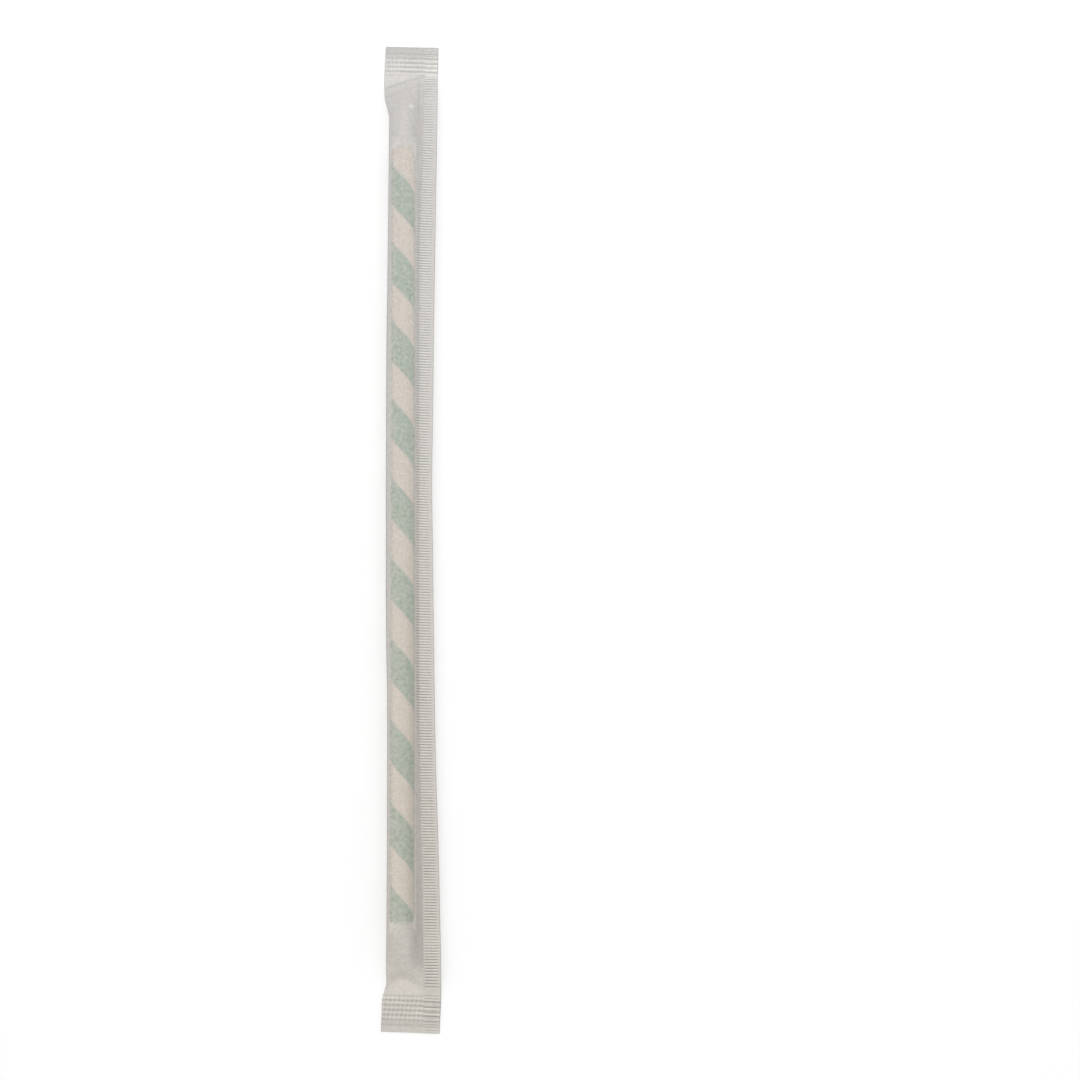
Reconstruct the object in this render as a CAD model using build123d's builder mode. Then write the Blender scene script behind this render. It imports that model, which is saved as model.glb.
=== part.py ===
from build123d import *
from math import acos, atan2, cos, hypot, pi, radians, sin, sqrt
import os

# Paper straw: a tube wound from three plies, with one green band printed on the outer ply
straw_length = 197.0
straw_diameter = 6.0
straw_ply = 0.14
straw_plies = 3
stripe_pitch = 20.2
stripe_width = 10.3
stripe_start = 8.7

# Paper of the wrapper and how closely it goes round the straw
paper = 0.10
straw_clearance = 0.06
fold_lip = 0.64
web_reach = 1.07
body_roll = 10.0

# Fin seal along the right side, ribbed between its root and a plain margin
fin_width = 3.6
fin_margin = 0.9
rib_pitch = 0.69
rib_depth = 0.06
rib_inset = 0.15

# Crimped seal across each end
crimp_length = 9.4
crimp_margin = 2.6
crimp_pitch = 1.12
crimp_depth = 0.08

# Empty paper between each end of the straw and the crimp
top_slack = 17.8
bottom_slack = 15.8
end_play = 0.5

# How far the empty paper stands open: share of the slack left to the crimp, share of the full height
top_opening = [(0.55, 0.90), (0.31, 0.36)]
bottom_opening = [(0.32, 0.86), (0.13, 0.45)]
crimp_mouth = 0.03

# Sizes that follow from the ones above
straw_radius = straw_diameter / 2
straw_bore = straw_radius - straw_ply * straw_plies
hug_radius = straw_radius + straw_clearance
fold_reach = hug_radius + fold_lip
root_reach = hug_radius + web_reach
wrapper_length = straw_length + top_slack + bottom_slack + 2 * crimp_length
top_crimp = wrapper_length / 2 - crimp_length
bottom_crimp = crimp_length - wrapper_length / 2
straw_top = top_crimp - top_slack
straw_bottom = bottom_crimp + bottom_slack


def tangent_angle(reach, height, radius):
    return atan2(height, reach) + acos(radius / hypot(reach, height))


# Paper does not stretch: one ply laid flat is as long as it is round the straw
fold_angle = tangent_angle(fold_reach, 0, hug_radius)
root_angle = tangent_angle(root_reach, 0, hug_radius)
flat_ply = (
    sqrt(fold_reach**2 - hug_radius**2)
    + hug_radius * (pi - fold_angle - root_angle)
    + sqrt(root_reach**2 - hug_radius**2)
)
flat_width = paper + flat_ply + fin_width


# A lower sleeve is a wider one, from the full round (share 1) to the pressed crimp (share 0)
def spread(share):
    return 1 + (flat_ply / (fold_reach + root_reach) - 1) * (1 - share**2)


# The sleeve spreads to both sides of the straw's axis, and its belly lies on the table
axis_x = flat_width / 2 - root_reach * spread(0) - fin_width


def section_plane(y, share):
    roll = radians(body_roll) * share**4
    axis_z = hug_radius * share + paper
    return Plane(origin=(axis_x, y, axis_z), x_dir=(cos(roll), 0, -sin(roll)), z_dir=(0, -1, 0))


def sleeve_inside(y, share):
    wide = spread(share)
    left = (-hug_radius * cos(fold_angle) * wide, hug_radius * sin(fold_angle) * share)
    right = (hug_radius * cos(root_angle) * wide, hug_radius * sin(root_angle) * share)
    fold = (-fold_reach * wide, 0)
    root = (root_reach * wide, 0)
    with BuildSketch(section_plane(y, share)) as section:
        with BuildLine():
            Line(fold, left)
            ThreePointArc(left, (0, hug_radius * share), right)
            Line(right, root)
            Line(root, (right[0], -right[1]))
            ThreePointArc((right[0], -right[1]), (0, -hug_radius * share), (left[0], -left[1]))
            Line((left[0], -left[1]), fold)
        make_face()
    return section.sketch


def sleeve_outside(y, share):
    wide = spread(share)
    radius = hug_radius + paper
    left_angle = tangent_angle(fold_reach + paper, paper, radius)
    right_angle = tangent_angle(root_reach + paper, paper, radius)
    left = (-radius * cos(left_angle) * wide, paper + (radius * sin(left_angle) - paper) * share)
    right = (radius * cos(right_angle) * wide, paper + (radius * sin(right_angle) - paper) * share)
    fold = (-fold_reach * wide - paper, paper)
    root = (root_reach * wide + paper, paper)
    edge = (root_reach * wide + fin_width, paper)
    with BuildSketch(section_plane(y, share)) as section:
        with BuildLine():
            Line((fold[0], -paper), fold)
            Line(fold, left)
            ThreePointArc(left, (0, hug_radius * share + paper), right)
            Line(right, root)
            Line(root, edge)
            Line(edge, (edge[0], -paper))
            Line((edge[0], -paper), (root[0], -paper))
            Line((root[0], -paper), (right[0], -right[1]))
            ThreePointArc((right[0], -right[1]), (0, -hug_radius * share - paper), (left[0], -left[1]))
            Line((left[0], -left[1]), (fold[0], -paper))
        make_face()
    return section.sketch


# The straw lies along Y, its upper end towards +Y
straw_axis = section_plane(straw_top, 1).origin
straw_end = Plane(origin=straw_axis, x_dir=(1, 0, 0), z_dir=(0, -1, 0))


# The printed field starts as a sector of the outer ply and winds down the tube as a left-handed screw
turn = 360 / stripe_pitch
with BuildSketch(straw_end) as sector:
    with BuildLine():
        rim = CenterArc((0, 0), straw_radius + straw_ply, 90 + turn * stripe_start, turn * stripe_width)
        floor = CenterArc((0, 0), straw_bore, 90 + turn * stripe_start, turn * stripe_width)
        Line(floor @ 0, rim @ 0)
        Line(floor @ 1, rim @ 1)
    make_face()
wound_sector = Solid.extrude_linear_with_rotation(
    sector.sketch.face(), straw_axis, (0, -straw_length, 0), -turn * straw_length
)

with BuildPart() as printed_stripe:
    with BuildSketch(straw_end):
        Circle(straw_radius)
        Circle(straw_radius - straw_ply, mode=Mode.SUBTRACT)
    extrude(amount=straw_length)
    add(wound_sector, mode=Mode.INTERSECT)

# Straw: the tube without the printed half of its outer ply
with BuildPart() as straw:
    with BuildSketch(straw_end):
        Circle(straw_radius)
        Circle(straw_bore, mode=Mode.SUBTRACT)
    extrude(amount=straw_length)
    add(printed_stripe.part, mode=Mode.SUBTRACT)


# Crimp: both plies pressed to a ribbed strip, with a plain margin along the cut
def crimp_profile(inner, side):
    ribs = int((crimp_length - crimp_margin) / crimp_pitch)
    top = []
    under = []
    for i in range(ribs):
        crest = inner + side * crimp_pitch * (i + 0.5)
        valley = inner + side * crimp_pitch * (i + 1)
        top += [(crest, 2 * paper), (valley, 2 * paper - crimp_depth)]
        under += [(crest, crimp_depth), (valley, 0)]
    cut = inner + side * crimp_length
    start = [(inner, 0), (inner, 2 * paper - crimp_depth)]
    margin = inner + side * (crimp_pitch * ribs + crimp_pitch / 2)
    return start + top + [(margin, 2 * paper), (cut, 2 * paper), (cut, 0)] + under[::-1]


# Fin ribs: the seal's two faces run in step, so the pressed plies keep one thickness
def rib_comb(face):
    count = int(straw_length / rib_pitch)
    first = straw_bottom + (straw_length - count * rib_pitch) / 2
    comb = []
    for i in range(count):
        comb += [(first + rib_pitch * i, paper - rib_depth * (face < 0))]
        comb += [(first + rib_pitch * (i + 0.5), paper - rib_depth * (face > 0))]
    clear = 2 * paper
    comb = [(first, clear)] + comb + [(first + rib_pitch * (count - 0.5), clear)]
    return [(y, face * w) for y, w in comb]


# Wrapper: a folded paper sleeve that opens round the straw and is pressed flat at both ends
top_stations = [(top_crimp - gap * top_slack, share) for gap, share in top_opening]
bottom_stations = [(bottom_crimp + gap * bottom_slack, share) for gap, share in bottom_opening]
top_stations = [(straw_top + end_play, 1)] + top_stations + [(top_crimp, crimp_mouth)]
bottom_stations = [(straw_bottom - end_play, 1)] + bottom_stations + [(bottom_crimp, crimp_mouth)]
round_length = straw_length + 2 * end_play

# The ribs run across the fin, from beside its root to the plain margin
fin_plane = section_plane(0, 1)
rib_start = root_reach + paper + rib_inset
rib_length = root_reach + fin_width - fin_margin - rib_start
rib_plane = Plane(
    origin=fin_plane.from_local_coords((rib_start, 0, 0)), x_dir=(0, 1, 0), z_dir=fin_plane.x_dir
)

with BuildPart() as wrapper:
    extrude(sleeve_outside(straw_top + end_play, 1), amount=round_length)
    loft([sleeve_outside(y, share) for y, share in top_stations], ruled=True)
    loft([sleeve_outside(y, share) for y, share in bottom_stations], ruled=True)
    for inner, side in ((top_crimp, 1), (bottom_crimp, -1)):
        with BuildSketch(Plane.YZ.offset(-flat_width / 2)):
            with BuildLine():
                Polyline(*crimp_profile(inner, side), close=True)
            make_face()
        extrude(amount=flat_width)
    extrude(sleeve_inside(straw_top + end_play, 1), amount=round_length, mode=Mode.SUBTRACT)
    loft([sleeve_inside(y, share) for y, share in top_stations], ruled=True, mode=Mode.SUBTRACT)
    loft([sleeve_inside(y, share) for y, share in bottom_stations], ruled=True, mode=Mode.SUBTRACT)
    for face in (1, -1):
        with BuildSketch(rib_plane):
            with BuildLine():
                Polyline(*rib_comb(face), close=True)
            make_face()
        extrude(amount=rib_length, mode=Mode.SUBTRACT, clean=False)

os.makedirs("parts", exist_ok=True)
for name, piece in (("straw", straw), ("printed_stripe", printed_stripe), ("wrapper", wrapper)):
    piece.part.label = name
    export_step(piece.part, "parts/" + name + ".step")
    print(name, len(piece.part.solids()), piece.part.is_valid, round(piece.part.volume, 2))
print("flat width", round(flat_width, 2), "wrapper length", round(wrapper_length, 2))
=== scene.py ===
from math import acos, atan2, cos, exp, hypot, pi, radians, sin, sqrt, tan

import bpy
from mathutils import Matrix, Vector, noise


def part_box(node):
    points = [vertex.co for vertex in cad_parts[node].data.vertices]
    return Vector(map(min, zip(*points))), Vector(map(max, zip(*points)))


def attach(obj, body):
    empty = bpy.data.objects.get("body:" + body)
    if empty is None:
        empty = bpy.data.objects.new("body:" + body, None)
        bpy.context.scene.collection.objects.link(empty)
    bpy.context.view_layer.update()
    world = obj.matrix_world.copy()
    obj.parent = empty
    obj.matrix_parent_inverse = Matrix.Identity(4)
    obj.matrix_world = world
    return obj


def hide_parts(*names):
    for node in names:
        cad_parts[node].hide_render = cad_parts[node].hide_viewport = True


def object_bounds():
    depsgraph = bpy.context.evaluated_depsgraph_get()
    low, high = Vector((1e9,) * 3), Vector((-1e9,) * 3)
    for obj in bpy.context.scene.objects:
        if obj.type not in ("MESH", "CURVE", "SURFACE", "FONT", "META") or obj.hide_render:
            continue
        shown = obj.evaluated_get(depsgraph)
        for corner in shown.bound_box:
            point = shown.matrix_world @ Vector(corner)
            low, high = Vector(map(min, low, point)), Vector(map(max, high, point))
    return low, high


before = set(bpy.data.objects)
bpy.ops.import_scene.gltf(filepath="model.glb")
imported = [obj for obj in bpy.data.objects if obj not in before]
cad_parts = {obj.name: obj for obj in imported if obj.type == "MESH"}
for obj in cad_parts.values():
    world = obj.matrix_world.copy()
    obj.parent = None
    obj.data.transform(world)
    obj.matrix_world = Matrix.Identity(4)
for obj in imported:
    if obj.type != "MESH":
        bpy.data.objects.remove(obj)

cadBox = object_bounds()
mm = 0.001

# the straw's box gives its axis and its ends, in mm
strawLow, strawHigh = (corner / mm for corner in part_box("straw"))
wrapLow, wrapHigh = (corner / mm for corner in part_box("wrapper"))
strawRadius = (strawHigh.x - strawLow.x) / 2
strawLength = strawHigh.y - strawLow.y
wrapLength = wrapHigh.y - wrapLow.y
axisX = (strawHigh.x + strawLow.x) / 2
axisZ = (strawHigh.z + strawLow.z) / 2
print("straw", round(strawLength, 1), "mm in a wrapper of", round(wrapLength, 1), "mm")


def clamp(value, low=0.0, high=1.0):
    return max(low, min(high, value))


def ease(low, high, value):
    t = clamp((value - low) / (high - low))
    return t * t * (3 - 2 * t)


def curveThrough(stations, at):  # smooth line through (place, value) pairs that never overshoots
    if at <= stations[0][0]:
        return stations[0][1]
    if at >= stations[-1][0]:
        return stations[-1][1]
    steps = [(b[1] - a[1]) / (b[0] - a[0]) for a, b in zip(stations, stations[1:])]
    slopes = [2 * p * q / (p + q) if p * q > 0 else 0.0 for p, q in zip(steps, steps[1:])]
    slopes = [0.0, *slopes, 0.0]
    i = max(k for k, station in enumerate(stations) if station[0] <= at)
    (x0, y0), (x1, y1) = stations[i], stations[i + 1]
    t = (at - x0) / (x1 - x0)
    pull = (x1 - x0) * (slopes[i] * t * (1 - t) ** 2 - slopes[i + 1] * t * t * (1 - t))
    return y0 + (y1 - y0) * t * t * (3 - 2 * t) + pull


def makePiece(name, points, faces, material, slot, node):
    mesh = bpy.data.meshes.new(name)
    mesh.from_pydata([Vector(p) * mm for p in points], [], faces)
    mesh.materials.append(material)
    mesh.shade_smooth()
    piece = bpy.data.objects.new(name, mesh)
    bpy.context.collection.objects.link(piece)
    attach(piece, "root")
    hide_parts(node)
    print(name, len(mesh.polygons), "faces")
    return piece


def mathNode(nodes, links, operation, first, second):
    node = nodes.new("ShaderNodeMath")
    node.operation = operation
    for socket, value in zip(node.inputs, (first, second)):
        if isinstance(value, (int, float)):
            socket.default_value = value
        else:
            links.new(value, socket)
    return node.outputs[0]


def rangeNode(nodes, links, value, low, high):  # spreads 0 to 1 between two values
    node = nodes.new("ShaderNodeMapRange")
    node.inputs["To Min"].default_value = low
    node.inputs["To Max"].default_value = high
    links.new(value, node.inputs["Value"])
    return node.outputs["Result"]


# Paper fibre: clouds of thicker and thinner pulp, with fine fibres lying along the web
def makeFibreGroup():
    group = bpy.data.node_groups.new("paperFibre", "ShaderNodeTree")
    for socketName, value in (("Cloud Size", 1.4), ("Fibre Size", 0.25), ("Fibre Length", 5.0)):
        socket = group.interface.new_socket(socketName, in_out="INPUT", socket_type="NodeSocketFloat")
        socket.default_value = value
    for socketName in ("Cloud", "Fibre"):
        group.interface.new_socket(socketName, in_out="OUTPUT", socket_type="NodeSocketFloat")
    nodes, links = group.nodes, group.links
    given = nodes.new("NodeGroupInput")
    result = nodes.new("NodeGroupOutput")
    place = nodes.new("ShaderNodeTexCoord")

    def perMetre(size):  # a size in millimetres becomes a texture scale
        return mathNode(nodes, links, "DIVIDE", 1 / mm, size)

    cloud = nodes.new("ShaderNodeTexNoise")
    cloud.inputs["Detail"].default_value = 3
    cloud.inputs["Roughness"].default_value = 0.6
    links.new(place.outputs["Object"], cloud.inputs["Vector"])
    links.new(perMetre(given.outputs["Cloud Size"]), cloud.inputs["Scale"])
    links.new(cloud.outputs["Fac"], result.inputs["Cloud"])

    along = mathNode(nodes, links, "DIVIDE", 1, given.outputs["Fibre Length"])
    stretch = nodes.new("ShaderNodeCombineXYZ")
    stretch.inputs["X"].default_value = 1
    stretch.inputs["Z"].default_value = 1
    links.new(along, stretch.inputs["Y"])
    drawn = nodes.new("ShaderNodeVectorMath")
    drawn.operation = "MULTIPLY"
    links.new(place.outputs["Object"], drawn.inputs[0])
    links.new(stretch.outputs[0], drawn.inputs[1])
    fibre = nodes.new("ShaderNodeTexNoise")
    fibre.inputs["Detail"].default_value = 2
    fibre.inputs["Distortion"].default_value = 0.6
    links.new(drawn.outputs[0], fibre.inputs["Vector"])
    links.new(perMetre(given.outputs["Fibre Size"]), fibre.inputs["Scale"])
    links.new(fibre.outputs["Fac"], result.inputs["Fibre"])
    return group


fibreGroup = makeFibreGroup()
cloudRange = (0.3, 0.7)  # where nearly all of the clouds' values lie


# Principled paper: colour from the clouds, roughness and bump from the fibres
def startMaterial(name, look):
    material = bpy.data.materials.new(name)
    material.use_nodes = True
    nodes, links = material.node_tree.nodes, material.node_tree.links
    shader = nodes["Principled BSDF"]
    shader.inputs["Specular IOR Level"].default_value = look["gloss"]
    fibre = nodes.new("ShaderNodeGroup")
    fibre.node_tree = fibreGroup
    fibre.inputs["Cloud Size"].default_value = look["cloudSize"]
    fibre.inputs["Fibre Size"].default_value = look["fibreSize"]
    fibre.inputs["Fibre Length"].default_value = look["fibreLength"]
    tone = nodes.new("ShaderNodeMix")
    tone.data_type = "RGBA"
    tone.inputs["A"].default_value = (*look["thin"], 1)
    tone.inputs["B"].default_value = (*look["thick"], 1)
    spread = nodes.new("ShaderNodeMapRange")
    spread.inputs["From Min"].default_value = cloudRange[0]
    spread.inputs["From Max"].default_value = cloudRange[1]
    links.new(fibre.outputs["Cloud"], spread.inputs["Value"])
    links.new(spread.outputs["Result"], tone.inputs["Factor"])
    links.new(tone.outputs["Result"], shader.inputs["Base Color"])
    rough = rangeNode(nodes, links, fibre.outputs["Fibre"], *look["roughness"])
    links.new(rough, shader.inputs["Roughness"])
    bump = nodes.new("ShaderNodeBump")
    bump.inputs["Strength"].default_value = look["bump"]
    bump.inputs["Distance"].default_value = look["bumpHeight"] * mm
    links.new(fibre.outputs["Fibre"], bump.inputs["Height"])
    links.new(bump.outputs["Normal"], shader.inputs["Normal"])
    return material, shader, fibre


# Straw: a wound paper tube with one printed band let into its outer ply
straw = {
    "bore": 2.58,  # inside radius, mm
    "ply": 0.14,
    "pitch": 20.2,  # length of one turn of the band
    "bandWidth": 10.3,
    "bandStart": 8.7,  # below the upper end, on the top line
    "rowStep": 0.5,
    "columns": 24,  # across the band, and as many across the plain paper
}
plainLook = {
    "thin": (0.85, 0.73, 0.595),
    "thick": (0.91, 0.80, 0.67),
    "cloudSize": 1.1,
    "fibreSize": 0.22,
    "fibreLength": 4.0,
    "roughness": (0.55, 0.75),
    "gloss": 0.3,
    "bump": 0.4,
    "bumpHeight": 0.02,
}
printLook = dict(plainLook, thin=(0.05, 0.305, 0.13), thick=(0.075, 0.37, 0.175), gloss=0.4)


def strawRing(y, radius, start, span, columns):  # points on the tube from one helix to another
    turned = 2 * pi / straw["pitch"] * (strawHigh.y - y)
    ring = []
    for k in range(columns + 1):
        angle = pi / 2 + start + span * k / columns - turned
        ring.append((axisX + radius * cos(angle), y, axisZ + radius * sin(angle)))
    return ring


# A wall between two skins, each with one ring of points for a row
def closeShell(outside, inside, goesRound):
    size = len(outside[0])
    points = [p for ring in outside + inside for p in ring]
    under = len(outside) * size  # the first point of the inner skin
    pairs = [(k, (k + 1) % size) for k in range(size if goesRound else size - 1)]
    faces = []
    for i in range(len(outside) - 1):
        a, b = i * size, (i + 1) * size
        for k, n in pairs:
            faces.append((a + k, a + n, b + n, b + k))
            faces.append((under + a + k, under + b + k, under + b + n, under + a + n))
        if not goesRound:  # the two long sides
            c, d = a + size - 1, b + size - 1
            faces.append((a, b, under + b, under + a))
            faces.append((d, c, under + c, under + d))
    last = (len(outside) - 1) * size
    for k, n in pairs:  # the two cut ends
        faces.append((k, under + k, under + n, n))
        faces.append((last + n, under + last + n, under + last + k, last + k))
    return points, faces


def buildStraw():
    turn = 2 * pi / straw["pitch"]
    bandFrom, bandSpan = turn * straw["bandStart"], turn * straw["bandWidth"]
    plainFrom, plainSpan = bandFrom + bandSpan, 2 * pi - bandSpan
    count = round(strawLength / straw["rowStep"])
    columns = straw["columns"]
    boreColumns = 2 * columns + 1
    boreStep = 2 * pi / (boreColumns + 1)
    boreFrom = plainFrom + boreStep / 4  # keeps the bore's points out of line with the band's edges
    tubeOut, tubeIn, bandOut, bandIn = [], [], [], []
    for i in range(count + 1):
        y = strawHigh.y - strawLength * i / count
        floor = strawRing(y, strawRadius - straw["ply"], bandFrom, bandSpan, columns)
        tubeOut.append(strawRing(y, strawRadius, plainFrom, plainSpan, columns) + floor)
        tubeIn.append(strawRing(y, straw["bore"], boreFrom, 2 * pi - boreStep, boreColumns))
        bandOut.append(strawRing(y, strawRadius, bandFrom, bandSpan, columns))
        bandIn.append(floor)
    plainPaper = startMaterial("strawPaper", plainLook)[0]
    greenPrint = startMaterial("greenPrint", printLook)[0]
    tube = closeShell(tubeOut, tubeIn, True)
    band = closeShell(bandOut, bandIn, False)
    makePiece("strawTube", *tube, plainPaper, "straw_paper", "straw")
    makePiece("printedBand", *band, greenPrint, "green_print", "printed_stripe")


buildStraw()

# Wrapper: one web of thin paper, folded at the left, sealed along the right and pressed flat at both ends
wrapper = {
    "paper": 0.10,  # mm, one ply
    "clearance": 0.06,
    "leastGap": 0.01,  # between the two plies inside, where they meet
    "hollowShort": 0.05,  # mm that the hollow ends before the crimps
    "roll": 10.0,  # degrees that the fin hangs down beside the straw
    # places along the wrapper, with the distance there from the straw's axis to the fold,
    # the fin's root, the fin's edge and the start of its ribs
    "foldEdge": [
        (-124.7, 4.74), (-117.4, 4.78), (-115.7, 4.53), (-114.2, 4.14), (-112.8, 3.80), (-110, 3.84),
        (-103, 3.78), (-81, 3.68), (-59, 3.69), (-44, 3.75), (-29, 4.03), (-14, 4.14),
        (16, 4.2), (39, 4.2), (62, 3.98), (86, 3.77), (99, 3.66), (105.4, 3.65),
        (106.1, 3.72), (109.8, 4.55), (110.6, 4.76), (112, 4.90), (116, 5.02), (124.7, 4.90),
    ],
    "finRoot": [
        (-124.7, 5.45), (-112, 5.4), (-100, 5.3), (-85, 5.1), (-75, 4.8), (-55, 4.4), (-30, 4.22),
        (60, 4.22), (80, 4.5), (92, 4.95), (102, 5.2), (112, 5.35), (124.7, 5.35),
    ],
    "finEdge": [
        (-124.7, 9.40), (-117.4, 9.46), (-113, 9.46), (-108, 9.46), (-103, 9.44), (-95, 9.3),
        (-81, 8.98), (-59, 8.3), (-29, 7.83), (-4, 7.53), (10, 7.35), (31, 7.62),
        (62, 7.98), (86, 8.37), (99, 8.58), (112, 8.63), (124.7, 8.53),
    ],
    "ribFrom": [
        (-100, 5.35), (-85, 5.05), (-62, 4.0), (-40, 3.3), (0, 3.15),
        (70, 3.2), (86, 3.6), (97, 4.6), (104, 5.2),
    ],
    # plain paper outside the ribs
    "finMargin": [(-110, 0.65), (-60, 0.7), (0, 0.75), (60, 0.85), (100, 0.9)],
    "ribGaps": [(-114.9, 0.75), (110.3, 0.5)],  # where the fin's ribs are smoothed out, and half how far
    "ribPitch": 0.69,
    "ribDepth": 0.20,
    "ribStart": (-0.15, 0.45),  # mm over which a rib rises at the web
    "ribSoft": 0.2,  # mm each way over which it ends at the margin or at a gap
    "finSway": 0.3,  # how far the fin's edge lifts and sinks
    "finFaint": 0.5,  # how much fainter its ribs are inside a pressed end
    "finCrossed": (0.5, 2.0),  # mm past the start of the crimp where that sets in
    "crimpLength": 9.4,
    "crimpPitch": 1.17,
    "crimpDepth": 0.24,
    "crimpRibs": {"top": (1.7, 5), "bottom": (0.6, 6)},  # mm from the sleeve to the first rib, how many
    "crimpOpen": 0.1,  # share of the height at which they are gone
    "outerRib": {"top": 0.5, "bottom": 0.6},  # how much less the rib nearest to the cut is pressed
    "crimpTurn": {"top": 1.7, "bottom": 2.35},  # degrees that each pressed end lies askew
    "crimpOut": {"top": 0.30, "bottom": -0.12},  # mm that each cut stands out
    "crimpEase": (-6.0, 2.0),  # mm past the start of the crimp over which both set in
    "crimpJog": 0.15,  # step of the ribs where the fin begins
    "knurlPitch": 1.05,
    "knurlStep": 0.7,  # how far the spots of a row are shifted against the row before
    "knurlFade": 0.8,
    "knurlDip": 0.4,  # how far a rib dips between its spots
    # height of the spots between ribs, and where they fade
    "knurl": {"top": (0.4, -4.5, -1.0), "bottom": (0.42, 1.5, 4.0)},
    # the way from the straw's end to where the two plies meet, with the share of the height left there
    "topFall": [(0.0, 1.0), (0.5, 0.70), (0.86, 0.24), (1.0, 0.0), (1.1, -0.17)],
    "bottomFall": [(0.0, 1.0), (0.5, 0.80), (0.8, 0.38), (1.0, 0.0)],
    "topMeet": (-1.2, 2.4),  # mm past the start of the crimp, at the fold and at the fin
    "bottomMeet": (3.0, 0.3),  # mm short of the crimp, near the middle and at both sides
    "bottomBell": (0.42, 2.2),  # where across that middle is, and how fast it falls off
    "crumple": 0.07,  # unevenness of the empty paper
    "crumpleEase": (8.0, 3.0),  # mm over which it sets in at the straw, and ends at the crimp
    "crumpleOpen": 3.0,  # the share of the height times this, up to 1, lets it show
    "slack": 0.03,  # unevenness all along
    # x, y, size, depth
    "dents": [(0.1, 108.2, 0.7, 0.16), (-3.2, 104.0, 1.6, 0.08), (-1.0, -108.0, 1.8, 0.08)],
    "glints": [(-0.15, 108.2, 0.5, 0.40)],  # painted highlights where a dent catches the light: x, y, size, how much lighter
    "crease": {  # where the upper end's plies meet, and down from there beside the fin
        "from": 6.0,  # mm past the straw's end
        "full": 11.0,
        "beside": 3.85,  # mm from the axis
        "width": 0.22,
        "meet": 0.05,  # share of the height
        "open": 0.1,
        "depth": 0.08,
    },
    "endRound": {"top": (1.6, 4.6), "bottom": (1.4, 2.2)},  # the straw's corners as the paper shows them
    "endGap": 0.3,
    "endFade": 1.4,
    "heldEdge": {"fold": (0.25, 0.45), "fin": (0.5, 0.15)},  # mm inside and outside of the straw's flank
    "emptyEase": 3.0,  # mm past the straw's end
    # noise in cycles for a mm across and along, and its layer
    "noises": {
        "crimp": (0.22, 0.45, 3.0),
        "fin": (0.3, 0.16, 7.0),
        "coarse": (0.32, 0.22, 5.0),
        "fine": (0.8, 0.6, 9.0),
        "slack": (0.5, 0.09, 2.0),
        "sway": (1.0, 0.035, 0.0),
    },
    # how strongly ribs are pressed: usual, swing, least, most
    "patches": {"crimp": (0.95, 0.35, 0.5, 1.15), "fin": (0.9, 0.4, 0.5, 1.1)},
    # mesh
    "flatBelow": 0.004,  # share of the height at which a ply is flat
    "bendShare": 0.28,  # of the way from the straw to the fold or the root
    "bendSteps": 12,
    "arcSteps": 40,
    "sleeveColumns": 44,
    "webColumns": 8,  # of these, the ones beside the fin that carry its ribs
    "finColumns": 10,
    "finBody": 0.94,  # share of the fin before the narrow column along its cut
    "rowsPerRib": 4,
    "rowEvery": {"pressed": 1, "empty": 3, "straw": 12},  # rows that are cut across the sleeve too
    "pressedRows": {"top": 3.0, "bottom": 4.0},  # mm of sleeve that are as fine as the crimp
    "emptyRows": 8.0,  # mm of straw that are as fine as the empty paper
}
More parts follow.
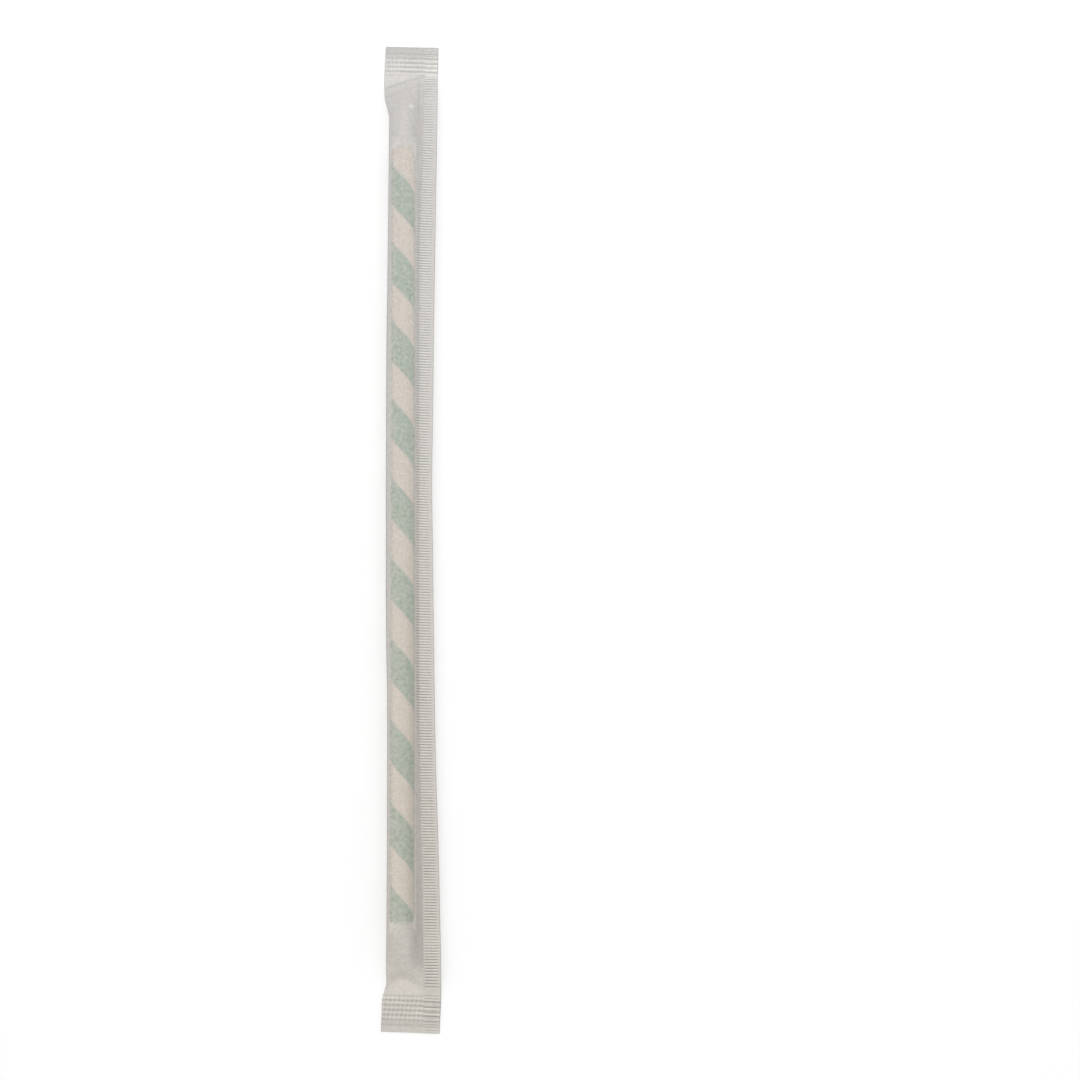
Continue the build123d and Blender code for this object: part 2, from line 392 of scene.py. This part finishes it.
wrapperLook = {
    "thin": (0.652, 0.631, 0.609),
    "thick": (0.688, 0.667, 0.647),
    "warm": (1.0, 0.98, 0.93),  # what the paper's colour is multiplied by at the lower end
    "cloudSize": 0.9,
    "fibreSize": 0.2,
    "fibreLength": 5.0,
    "roughness": (0.45, 0.65),
    "gloss": 0.35,
    "bump": 0.3,
    "bumpHeight": 0.02,
    "alphaHeld": 0.45,  # where the paper lies on the straw
    "alphaFree": 0.80,
    "cloudHeld": 0.3,  # how much the pulp's clouds change it
    "cloudFree": 0.15,
    "lampShare": 0.95,  # lamp light that the thin paper passes on
    # how light the paper is, much of it painted light and shade, where 1 is one ply over a hollow; pairs
    # are the floor and the crest of a rib
    "fallLightShade": {"top": 0.98, "bottom": 1.06},  # painted light and shade where the sleeve falls towards the crimp, lighter at the lower end and darker at the upper
    "lowRange": (0.4, 0.9),  # share of the height
    "touchToneAndLight": 1.10,  # where the two plies touch: lighter for the double paper, and partly painted light in place of the shade seen through one ply over the hollow
    "touchBelow": 0.3,
    # painted shade in the crease
    "creaseShade": 0.86,
    # painted shade in the pocket between the straw and the fin, along the wrapper
    "webShade": [(-100, 0.799), (-50, 0.858), (0, 0.93), (80, 0.936)],
    "webFrom": (3.0, 0.6),  # mm from the axis, beside the straw and past its end
    "webTo": 3.5,
    "webRange": (0.3, 0.9),
    "marginTone": {"top": 0.90, "bottom": 0.98},
    "marginEase": (-0.3, 0.5),
    "finSeal": {"top": 1.08, "bottom": 1.04},  # how much lighter the fin is in a pressed end
    # painted shade on the rib floors and painted light on the crests of each pressed end
    "crimpLightShade": {"top": (0.72, 1.24), "bottom": (0.56, 1.17)},
    "crimpFrom": {"top": 0.4, "bottom": 0.0},  # how far into the ribs their tone starts
    "crimpEase": (-0.5, 0.4),
    "crest": 0.65,  # below 1 makes the crests broad and the floors between them narrow
    # painted shade on the fin's rib floors and painted light on their crests
    "finLightShade": {"top": (0.58, 1.34), "bottom": (0.36, 1.33)},
    "finRun": (-110, 50),  # from the lower to the upper pair
    "finRootShade": 0.06,  # painted shade: the fin darker towards its root and lighter towards its edge
    # painted shade along the fold's edge
    "foldShade": 0.90,
    # painted shade along the fin's cut edge
    "cutShade": 0.62,
    # painted light and shade across the paper on the straw, near each end: the lip at the fold, two flanks
    # and the crest between
    "heldLightShade": {
        "top": [
            (-4.2, 0.95), (-3.6, 0.98), (-2.7, 1.14), (-1.9, 1.06),
            (-1.0, 1.0), (1.2, 1.03), (2.8, 1.16), (3.5, 1.0),
        ],
        "bottom": [
            (-4.2, 0.93), (-3.6, 0.97), (-2.8, 1.14), (-1.9, 1.10),
            (-0.8, 1.0), (0.4, 0.96), (1.8, 0.88), (3.2, 1.0),
        ],
    },
}

paper = wrapper["paper"]
hugRadius = strawRadius + wrapper["clearance"]
topCrimp = wrapHigh.y - wrapper["crimpLength"]
bottomCrimp = wrapLow.y + wrapper["crimpLength"]


def endOf(y):
    return "top" if y > 0 else "bottom"


# Share of the full height, across from 0 at the fold to 1 at the fin's root
def heightAt(y, across):
    if y > strawHigh.y:
        atFold, atFin = wrapper["topMeet"]
        meet = topCrimp + atFold + (atFin - atFold) * across
        return max(0.0, curveThrough(wrapper["topFall"], (y - strawHigh.y) / (meet - strawHigh.y)))
    if y < strawLow.y:
        atMiddle, atSides = wrapper["bottomMeet"]
        middle, falloff = wrapper["bottomBell"]
        meet = bottomCrimp + atMiddle + (atSides - atMiddle) * clamp(falloff * abs(across - middle)) ** 2
        return max(0.0, curveThrough(wrapper["bottomFall"], (strawLow.y - y) / (strawLow.y - meet)))
    return 1.0


def bezier(p, q, r, s, t):
    a, b, c, d = (1 - t) ** 3, 3 * t * (1 - t) ** 2, 3 * t * t * (1 - t), t**3
    return (a * p[0] + b * q[0] + c * r[0] + d * s[0], a * p[1] + b * q[1] + c * r[1] + d * s[1])


def tangentAngle(reach, height, radius):
    return atan2(height, reach) + acos(radius / hypot(reach, height))


plyCurves = {}  # kept, because most rows share theirs


# One ply from fold to root: up from the fold, round the straw and down a web to the fin
def plyCurve(y, high, layer):
    foldEdge, rootEdge = curveThrough(wrapper["foldEdge"], y), curveThrough(wrapper["finRoot"], y)
    key = (round(foldEdge, 2), round(rootEdge, 2), round(high, 3), layer)
    if key in plyCurves:
        return plyCurves[key]
    lift = paper if layer else wrapper["leastGap"]  # layer 1 is the outside of the ply, 0 its inside
    radius = hugRadius + lift
    fold = (paper - foldEdge - lift, lift)
    root = (rootEdge - paper + lift, lift)
    count = wrapper["sleeveColumns"]
    if high < wrapper["flatBelow"]:
        line = [(fold[0] + (root[0] - fold[0]) * k / count, lift) for k in range(count + 1)]
    else:
        ends = []
        for reach, sign in ((-fold[0], -1), (root[0], 1)):
            angle = tangentAngle(reach, lift, radius)
            ends.append((sign * radius * cos(angle), lift + (radius * sin(angle) - lift) * high))
        line = resample(sleeveLine(fold, ends[0], (0, hugRadius * high + lift), ends[1], root), count)
    plyCurves[key] = line
    return line


def sleeveLine(fold, left, crest, right, root):  # fine points on one ply
    ax, ay, bx, by = crest[0] - left[0], crest[1] - left[1], right[0] - left[0], right[1] - left[1]
    cross = 2 * (ax * by - ay * bx)
    midX = (by * (ax * ax + ay * ay) - ay * (bx * bx + by * by)) / cross + left[0]
    midY = (ax * (bx * bx + by * by) - bx * (ax * ax + ay * ay)) / cross + left[1]
    radius = hypot(left[0] - midX, left[1] - midY)
    first, last = (atan2(p[1] - midY, p[0] - midX) for p in (left, right))
    share, steps, arcSteps = wrapper["bendShare"], wrapper["bendSteps"], wrapper["arcSteps"]
    reach = share * hypot(left[0] - fold[0], left[1] - fold[1])
    start = (fold[0] + share * (left[0] - fold[0]), fold[1] + share * (left[1] - fold[1]))
    bend = (left[0] - reach * sin(first), left[1] + reach * cos(first))
    line = [bezier(fold, start, bend, left, t / steps) for t in range(steps)]
    for k in range(arcSteps + 1):
        angle = first + (last - first) * k / arcSteps
        line.append((midX + radius * cos(angle), midY + radius * sin(angle)))
    reach = share * hypot(root[0] - right[0], root[1] - right[1])
    bend = (right[0] + reach * sin(last), right[1] - reach * cos(last))
    flat = (root[0] - reach, root[1])
    line += [bezier(right, bend, flat, root, t / steps) for t in range(1, steps + 1)]
    return line


def resample(line, count):  # evenly spaced points along a line
    run = [0.0]
    for p, q in zip(line, line[1:]):
        run.append(run[-1] + hypot(q[0] - p[0], q[1] - p[1]))
    even, i = [], 0
    for k in range(count + 1):
        at = run[-1] * k / count
        while i < len(run) - 2 and run[i + 1] < at:
            i += 1
        t = (at - run[i]) / (run[i + 1] - run[i])
        even.append(tuple(a + (b - a) * t for a, b in zip(line[i], line[i + 1])))
    return even


def placed(y, high, across, up):  # from a section's own axes to the part's, with the pressed ends askew
    roll = radians(wrapper["roll"]) * high**4  # soon gone where the sleeve falls
    x = axisX + across * cos(roll) + up * sin(roll)
    z = hugRadius * high + paper - across * sin(roll) + up * cos(roll)
    end = endOf(y)
    outward = abs(y) - topCrimp
    pressed = ease(*wrapper["crimpEase"], outward)
    askew = tan(radians(wrapper["crimpTurn"][end])) * pressed
    x += askew * max(0.0, outward) * (1 if y > 0 else -1)
    return (x, y + wrapper["crimpOut"][end] * pressed - askew * x, max(0.0, z))


def unevenAt(kind, x, y, side=1):
    across, along, layer = wrapper["noises"][kind]
    return noise.noise(Vector((x * across, y * along, side * layer)))


def patchiness(kind, x, y):  # how strongly ribs are pressed here
    usual, swing, least, most = wrapper["patches"][kind]
    return clamp(usual + swing * unevenAt(kind, x, y), least, most)


def crimpRow(y):  # how many ribs out from the sleeve a place is, and how many there are
    start, ribs = wrapper["crimpRibs"][endOf(y)]
    return (abs(y) - topCrimp - start) / wrapper["crimpPitch"], ribs


def pressedLess(y):  # over the rib nearest to the cut
    row, ribs = crimpRow(y)
    return wrapper["outerRib"][endOf(y)] * ease(-0.2, 0.2, row - (ribs - 1))


def crimpRib(x, y):  # height of a pressed end's ribs, from 0 to about 1, with a row of spots along each
    row, ribs = crimpRow(y)
    if row < 0 or row > ribs:
        return 0.0
    wave = 0.5 - 0.5 * cos(2 * pi * row)
    spots = 0.5 + 0.5 * cos(2 * pi * x / wrapper["knurlPitch"] + wrapper["knurlStep"] * round(row))
    bridge, strongTo, weakFrom = wrapper["knurl"][endOf(y)]
    bridge *= 1 - wrapper["knurlFade"] * ease(strongTo, weakFrom, x)
    height = wave * (1 - wrapper["knurlDip"] * bridge * (1 - spots)) + (1 - wave) * bridge * spots
    return height * patchiness("crimp", x, y) * (1 - pressedLess(y))


# Height and strength of the fin's ribs, which run from the web to a plain margin and fade here and there
def finRib(y, across):
    wave = 0.5 - 0.5 * cos(2 * pi * (y - wrapLow.y) / wrapper["ribPitch"])
    soft = wrapper["ribSoft"]
    ribFrom = curveThrough(wrapper["ribFrom"], y)
    ribTo = curveThrough(wrapper["finEdge"], y) - curveThrough(wrapper["finMargin"], y)
    strength = ease(*wrapper["ribStart"], across - ribFrom) * (1 - ease(-soft, soft, across - ribTo))
    for place, half in wrapper["ribGaps"]:
        strength *= ease(half - soft, half + soft, abs(y - place))
    return wave, strength * patchiness("fin", across, y)


def partly(tone, share):  # a tone that counts only in part
    return 1 + share * (tone - 1)


# painted shade on a rib's floor and painted light on its crest
def ribLightShade(rib, tones):
    floor, crest = tones
    return floor + (crest - floor) * rib ** wrapperLook["crest"]


# painted light and shade on the fin's ribs, from the lower pair to the upper
def finLightShade(y):
    share = ease(*wrapperLook["finRun"], y)
    low, high = wrapperLook["finLightShade"]["bottom"], wrapperLook["finLightShade"]["top"]
    return [a + (b - a) * share for a, b in zip(low, high)]


# painted light and shade across the paper on the straw, blended from the lower end to the upper
def heldLightShade(y, across):
    share = ease(strawLow.y, strawHigh.y, y)
    low, high = (curveThrough(wrapperLook["heldLightShade"][end], across) for end in ("bottom", "top"))
    return low + (high - low) * share


def sealToneAndShade(y, rib):  # lightness across a pressed end, from the plain sleeve to the cut, with painted light and shade on its ribs
    end = endOf(y)
    row, ribs = crimpRow(y)
    pitch = wrapper["crimpPitch"]
    intoRibs = ease(*wrapperLook["crimpEase"], row * pitch - wrapperLook["crimpFrom"][end])
    intoMargin = max(ease(*wrapperLook["marginEase"], (row - ribs) * pitch), pressedLess(y))
    ribbed = ribLightShade(rib, wrapperLook["crimpLightShade"][end])
    # lighter where the plies touch, partly painted light, then painted light and shade on the ribs
    tone = wrapperLook["touchToneAndLight"] * (1 - intoRibs) + ribbed * intoRibs
    return tone * (1 - intoMargin) + wrapperLook["marginTone"][end] * intoMargin


def spotAt(x, y, spotX, spotY, size):
    return exp(-((x - spotX) ** 2 + (y - spotY) ** 2) / size**2)


def crumpled(x, y, side):  # the empty paper is a little crumpled, and is nowhere pressed into the straw
    fromStraw, toCrimp = wrapper["crumpleEase"]
    top = ease(0, fromStraw, y - strawHigh.y) * ease(0, toCrimp, topCrimp - y)
    bottom = ease(0, fromStraw, strawLow.y - y) * ease(0, toCrimp, y - bottomCrimp)
    folds = unevenAt("coarse", x, y, side) + 0.5 * unevenAt("fine", x, y, side)
    slack = 0.5 + 0.5 * unevenAt("slack", x, y, side)
    lifted = wrapper["crumple"] * max(top, bottom) * folds + wrapper["slack"] * slack
    if side > 0:
        lifted -= sum(depth * spotAt(x, y, *spot) for *spot, depth in wrapper["dents"])
    return lifted


def creaseAt(y, across, high):
    crease = wrapper["crease"]
    above = y - strawHigh.y
    if above < crease["from"]:
        return 0.0
    meeting = exp(-((high / crease["meet"] - 1) ** 2)) if high > 0 else 0.0
    beside = exp(-(((across - crease["beside"]) / crease["width"]) ** 2))
    beside *= ease(crease["from"], crease["full"], above) * ease(0.0, crease["open"], high)
    return max(meeting, beside)


def freedom(y, across):  # 0 where the paper lies on the straw, 1 where it is free of it
    inside = min(strawHigh.y - y, y - strawLow.y)
    if inside <= 0:
        return 1.0
    corner = wrapper["endRound"][endOf(y)][across > 0]
    held = hugRadius * sqrt(1 - (1 - clamp((inside - wrapper["endGap"]) / corner)) ** 2)
    inner, outer = wrapper["heldEdge"]["fin" if across > 0 else "fold"]
    beside = ease(held - inner, held + outer, abs(across))
    return max(beside, 1 - ease(0.0, wrapper["endFade"], inside))


class Skin:  # points and faces, with how free of the straw and how light the paper is at each point, painted light and shade included
    def __init__(self):
        self.points = []
        self.faces = []
        self.free = []
        self.tone = []

    def add(self, point, free, tone):
        self.points.append(point)
        self.free.append(free)
        self.tone.append(tone)
        return len(self.points) - 1


def sleeveToneAndShade(y, across, high, endRib):  # lightness of the sleeve before ribs, creases and edges, with painted light where it falls and painted shade in the web
    # painted light and shade where the sleeve falls towards the crimp
    tone = partly(wrapperLook["fallLightShade"][endOf(y)], 1 - ease(*wrapperLook["lowRange"], high))
    tone += (sealToneAndShade(y, endRib) - tone) * (1 - ease(0.0, wrapperLook["touchBelow"], high))
    empty = ease(0, wrapper["emptyEase"], max(y - strawHigh.y, strawLow.y - y))
    besideStraw, pastStraw = wrapperLook["webFrom"]
    webFrom = besideStraw + (pastStraw - besideStraw) * empty
    inWeb = ease(webFrom, wrapperLook["webTo"], across) * ease(*wrapperLook["webRange"], high)
    # painted shade in the web beside the straw
    tone *= partly(curveThrough(wrapperLook["webShade"], y), inWeb)
    return tone, 1 - empty


def sleevePoint(skin, y, k, side, layer):
    count = wrapper["sleeveColumns"]
    high = heightAt(y, k / count)
    across, up = plyCurve(y, high, layer)[k]
    x = axisX + across
    endRib = crimpRib(x, y)
    wave, strength = finRib(y, across) if k > count - wrapper["webColumns"] else (0.0, 0.0)
    up = side * up + wrapper["crimpDepth"] * endRib * (1 - ease(0.0, wrapper["crimpOpen"], high))
    if side > 0 and layer > 0:
        up += wrapper["ribDepth"] * wave * strength
    if 0 < k < count:
        up += side * crumpled(x, y, side) * min(1.0, high * wrapper["crumpleOpen"])
    tone, onStraw = sleeveToneAndShade(y, across, high, endRib)
    # painted light and shade on the ribs in the web, and painted shade along the fold
    tone *= partly(ribLightShade(wave, finLightShade(y)), strength) * partly(wrapperLook["foldShade"], k == 0)
    if side > 0:
        crease = creaseAt(y, across, high)
        up -= wrapper["crease"]["depth"] * crease
        # painted shade in the crease, and painted light and shade across the paper on the straw
        tone *= partly(wrapperLook["creaseShade"], crease) * partly(heldLightShade(y, across), onStraw)
        # painted highlights at the glints
        for *spot, lighter in wrapper["glints"]:
            tone *= 1 + lighter * spotAt(x, y, *spot)
    return skin.add(placed(y, high, across, up), freedom(y, across), tone)


def finPoint(skin, y, j, side):
    count = wrapper["finColumns"]
    high = heightAt(y, 1.0)
    root, edge = curveThrough(wrapper["finRoot"], y), curveThrough(wrapper["finEdge"], y)
    share = 1.0 if j == count else wrapper["finBody"] * j / (count - 1)
    across = root + (edge - root) * share
    wave, strength = finRib(y, across)
    endRib = crimpRib(axisX + across, y + wrapper["crimpJog"])
    crossed = ease(*wrapper["finCrossed"], abs(y) - topCrimp)
    strength *= 1 - wrapper["finFaint"] * crossed
    up = side * paper + wrapper["ribDepth"] * wave * strength + wrapper["crimpDepth"] * endRib * crossed
    up += wrapper["finSway"] * share**1.5 * unevenAt("sway", 2.0, y) * min(1.0, high * 2)
    # painted light and shade on the fin's ribs, and painted shade towards its root
    tone = partly(ribLightShade(wave, finLightShade(y)), strength) * (1 + wrapperLook["finRootShade"] * (share - 0.5))
    # painted light and shade of the pressed end over the fin
    tone *= partly(sealToneAndShade(y, endRib) * wrapperLook["finSeal"][endOf(y)], crossed)
    # painted shade along the cut edge
    tone *= partly(wrapperLook["cutShade"], j == count)
    return skin.add(placed(y, high, across, up), 1.0, tone)


def wrapperRows():  # every row is cut across the fin, and some across the sleeve as well
    step = wrapper["ribPitch"] / wrapper["rowsPerRib"]
    count = int(wrapLength / step)
    fine, into = wrapper["pressedRows"], wrapper["emptyRows"]
    rows = []
    for i in range(count + 1):
        y = wrapLow.y + step * i if i < count else wrapHigh.y
        if y < bottomCrimp + fine["bottom"] or y > topCrimp - fine["top"]:
            part = "pressed"
        elif y < strawLow.y + into or y > strawHigh.y - into:
            part = "empty"
        else:
            part = "straw"
        rows.append((y, i % wrapper["rowEvery"][part] == 0 or i == count))
    return rows


def buildOutside(skin):
    sleeve, web, fin = wrapper["sleeveColumns"], wrapper["webColumns"], wrapper["finColumns"]
    rows = []
    for y, whole in wrapperRows():
        top = [finPoint(skin, y, j, 1) for j in range(fin, -1, -1)]  # edge to root, then up the web
        top += [sleevePoint(skin, y, k, 1, 1) for k in range(sleeve - 1, sleeve - web - 1, -1)]
        under = [finPoint(skin, y, j, -1) for j in range(fin + 1)]  # root to edge
        middle = []
        if whole:
            middle = [sleevePoint(skin, y, k, 1, 1) for k in range(sleeve - web - 1, -1, -1)]
            middle += [sleevePoint(skin, y, k, -1, 1) for k in range(sleeve)]
        rows.append((top, middle, under))
    for (topA, _, underA), (topB, _, underB) in zip(rows, rows[1:]):
        for a, b in ((topA, topB), (underA, underB)):
            skin.faces += [(a[j], b[j], b[j + 1], a[j + 1]) for j in range(len(a) - 1)]
        skin.faces.append((underA[-1], underB[-1], topB[0], topA[0]))
    whole = [i for i, row in enumerate(rows) if row[1]]
    for i, j in zip(whole, whole[1:]):
        a, b = rows[i][1], rows[j][1]
        skin.faces += [(a[k], b[k], b[k + 1], a[k + 1]) for k in range(len(a) - 1)]
        topSeam = [rows[n][0][-1] for n in range(i, j + 1)]
        underSeam = [rows[n][2][0] for n in range(i, j + 1)]
        skin.faces.append((*topSeam, b[0], a[0]))
        skin.faces.append((*reversed(underSeam), a[-1], b[-1]))
    for row, turned in ((rows[0], False), (rows[-1], True)):  # the two cut ends
        loop = [*row[0], *row[1], *row[2]]
        for k in range(len(loop) // 2 - 1):
            far = len(loop) - 1 - k
            face = (loop[k], loop[k + 1], loop[far - 1], loop[far])
            skin.faces.append(face[::-1] if turned else face)


def buildInside(skin):  # the hollow that holds the straw
    sleeve = wrapper["sleeveColumns"]
    lowest, highest = bottomCrimp + wrapper["hollowShort"], topCrimp - wrapper["hollowShort"]
    places = [y for y, whole in wrapperRows() if whole and lowest < y < highest][::2]
    loops = []
    for y in places:
        loop = [sleevePoint(skin, y, k, 1, 0) for k in range(sleeve, -1, -2)]
        loop += [sleevePoint(skin, y, k, -1, 0) for k in range(2, sleeve, 2)]
        loops.append(loop)
    size = len(loops[0])
    for a, b in zip(loops, loops[1:]):
        skin.faces += [(a[k], a[(k + 1) % size], b[(k + 1) % size], b[k]) for k in range(size)]
    for loop, turned in ((loops[0], True), (loops[-1], False)):
        for k in range(size // 2):  # the first and the last face have three corners
            face = tuple(dict.fromkeys((loop[k], loop[k + 1], loop[-k - 1], loop[-k])))
            skin.faces.append(face[::-1] if turned else face)


def makeWrapperPaper():
    material, shader, fibre = startMaterial("wrapperPaper", wrapperLook)
    nodes, links = material.node_tree.nodes, material.node_tree.links

    def pointValue(name):
        node = nodes.new("ShaderNodeAttribute")
        node.attribute_name = name
        return node.outputs["Fac"]

    warmed = nodes.new("ShaderNodeMix")  # colour: the pulp's, warmer towards the lower end, times the tone with its painted light and shade
    warmed.data_type = "RGBA"
    warmed.blend_type = "MULTIPLY"
    warmed.inputs["B"].default_value = (*wrapperLook["warm"], 1)
    links.new(pointValue("paperWarm"), warmed.inputs["Factor"])
    links.new(shader.inputs["Base Color"].links[0].from_socket, warmed.inputs["A"])
    lit = nodes.new("ShaderNodeVectorMath")
    lit.operation = "SCALE"
    links.new(warmed.outputs["Result"], lit.inputs[0])
    links.new(pointValue("paperToneAndShade"), lit.inputs["Scale"])
    links.new(lit.outputs[0], shader.inputs["Base Color"])

    free = pointValue("paperFree")  # cover: less where the paper lies on the straw, and cloudy
    cover = rangeNode(nodes, links, free, wrapperLook["alphaHeld"], wrapperLook["alphaFree"])
    depth = rangeNode(nodes, links, free, wrapperLook["cloudHeld"], wrapperLook["cloudFree"])
    cloud = rangeNode(nodes, links, fibre.outputs["Cloud"], -1, 1)
    clouded = mathNode(nodes, links, "MULTIPLY", cloud, depth)
    alpha = mathNode(nodes, links, "ADD", cover, clouded)
    alpha.node.use_clamp = True
    links.new(alpha, shader.inputs["Alpha"])

    path = nodes.new("ShaderNodeLightPath")  # lamp light goes on through the thin paper
    passed = mathNode(nodes, links, "MULTIPLY", path.outputs["Is Shadow Ray"], wrapperLook["lampShare"])
    clear = nodes.new("ShaderNodeBsdfTransparent")
    mix = nodes.new("ShaderNodeMixShader")
    links.new(passed, mix.inputs["Fac"])
    links.new(shader.outputs[0], mix.inputs[1])
    links.new(clear.outputs[0], mix.inputs[2])
    links.new(mix.outputs[0], nodes["Material Output"].inputs["Surface"])
    return material


def buildWrapper():
    skin = Skin()
    buildOutside(skin)
    buildInside(skin)
    thinPaper = makeWrapperPaper()
    piece = makePiece("paperWrapper", skin.points, skin.faces, thinPaper, "wrapper_paper", "wrapper")
    warm = [1 - ease(wrapLow.y, wrapHigh.y, point[1]) for point in skin.points]
    for name, values in (("paperFree", skin.free), ("paperToneAndShade", skin.tone), ("paperWarm", warm)):
        piece.data.attributes.new(name, "FLOAT", "POINT").data.foreach_set("value", values)


buildWrapper()

# Floor, light and camera
stage = {
    "floorSize": 4.0,  # metres
    "floorGap": 0.0001,  # metres below the part
    "floorColour": 0.86,
    "floorGlow": (0.20, 0.60),  # brings the floor to white for the camera, near the part and far from it
    "glowReach": (0.3, 1.6),  # metres from the part
    "skyFill": 0.68,
    "lamps": {  # place in metres, size in metres, power in watts
        "frontSoftbox": ((-0.3, -1.9, 3.4), 1.2, 13.0),
        "topSoftbox": ((0.05, 0.45, 0.9), 0.4, 2.5),
    },
}
camera = {
    "lens": 116.0,
    "distance": 0.865,  # metres
    "elevation": 78.76,  # degrees
    "roll": -0.34,
    "aim": (32.0, -3.57, 0.0),  # mm
}


def whiteForCamera(nodes, links, factor):  # 1 for rays that show the background
    path = nodes.new("ShaderNodeLightPath")
    seen = path.outputs["Is Camera Ray"]
    for name in ("Is Glossy Ray", "Is Transmission Ray"):
        seen = mathNode(nodes, links, "MAXIMUM", seen, path.outputs[name])
    links.new(seen, factor)


def buildFloor():
    half = stage["floorSize"] / 2
    mesh = bpy.data.meshes.new("floor")
    corners = [(-half, -half, 0), (half, -half, 0), (half, half, 0), (-half, half, 0)]
    mesh.from_pydata(corners, [], [(0, 1, 2, 3)])
    floor = bpy.data.objects.new("floor", mesh)
    bpy.context.collection.objects.link(floor)
    floor.location.z = cadBox[0].z - stage["floorGap"]
    material = bpy.data.materials.new("paleFloor")
    material.use_nodes = True
    nodes, links = material.node_tree.nodes, material.node_tree.links
    nodes.remove(nodes["Principled BSDF"])
    matt = nodes.new("ShaderNodeBsdfDiffuse")
    matt.inputs["Color"].default_value = (*[stage["floorColour"]] * 3, 1)
    glow = nodes.new("ShaderNodeEmission")
    both = nodes.new("ShaderNodeAddShader")
    mix = nodes.new("ShaderNodeMixShader")
    place = nodes.new("ShaderNodeTexCoord")
    away = nodes.new("ShaderNodeVectorMath")
    away.operation = "LENGTH"
    links.new(place.outputs["Object"], away.inputs[0])
    rising = nodes.new("ShaderNodeMapRange")
    for socketName, value in zip(("From Min", "From Max"), stage["glowReach"]):
        rising.inputs[socketName].default_value = value
    for socketName, value in zip(("To Min", "To Max"), stage["floorGlow"]):
        rising.inputs[socketName].default_value = value
    links.new(away.outputs["Value"], rising.inputs["Value"])
    links.new(rising.outputs["Result"], glow.inputs["Strength"])
    links.new(matt.outputs[0], both.inputs[0])
    links.new(glow.outputs[0], both.inputs[1])
    whiteForCamera(nodes, links, mix.inputs["Fac"])
    links.new(matt.outputs[0], mix.inputs[1])
    links.new(both.outputs[0], mix.inputs[2])
    links.new(mix.outputs[0], nodes["Material Output"].inputs["Surface"])
    mesh.materials.append(material)


def buildLight():
    world = bpy.data.worlds.new("studio")
    bpy.context.scene.world = world
    world.use_nodes = True
    nodes, links = world.node_tree.nodes, world.node_tree.links
    fill = nodes["Background"]
    fill.inputs["Color"].default_value = (1, 1, 1, 1)
    fill.inputs["Strength"].default_value = stage["skyFill"]
    white = nodes.new("ShaderNodeBackground")
    white.inputs["Color"].default_value = (1, 1, 1, 1)
    mix = nodes.new("ShaderNodeMixShader")
    whiteForCamera(nodes, links, mix.inputs["Fac"])
    links.new(fill.outputs[0], mix.inputs[1])
    links.new(white.outputs[0], mix.inputs[2])
    links.new(mix.outputs[0], nodes["World Output"].inputs["Surface"])
    for name, (place, size, power) in stage["lamps"].items():
        data = bpy.data.lights.new(name, "AREA")
        data.size = size
        data.energy = power
        lamp = bpy.data.objects.new(name, data)
        lamp.location = place
        lamp.rotation_euler = (-Vector(place)).to_track_quat("-Z", "Y").to_euler()
        bpy.context.collection.objects.link(lamp)


def buildCamera():
    rise, roll = radians(camera["elevation"]), radians(camera["roll"])
    back = Vector((0, -cos(rise), sin(rise)))
    right, up = Vector((1, 0, 0)), Vector((0, sin(rise), cos(rise)))
    across = right * cos(roll) + up * sin(roll)
    data = bpy.data.cameras.new("camera")
    data.lens = camera["lens"]
    data.clip_start = 0.01
    view = bpy.data.objects.new("camera", data)
    turned = Matrix((across, back.cross(across), back)).transposed().to_4x4()
    place = Vector(camera["aim"]) * mm + back * camera["distance"]
    view.matrix_world = Matrix.Translation(place) @ turned
    bpy.context.collection.objects.link(view)
    bpy.context.scene.camera = view


buildFloor()
buildLight()
buildCamera()
bpy.context.scene.view_settings.view_transform = "Standard"
print("floor,", len(stage["lamps"]), "lamps and camera set")

bpy.context.view_layer.update()
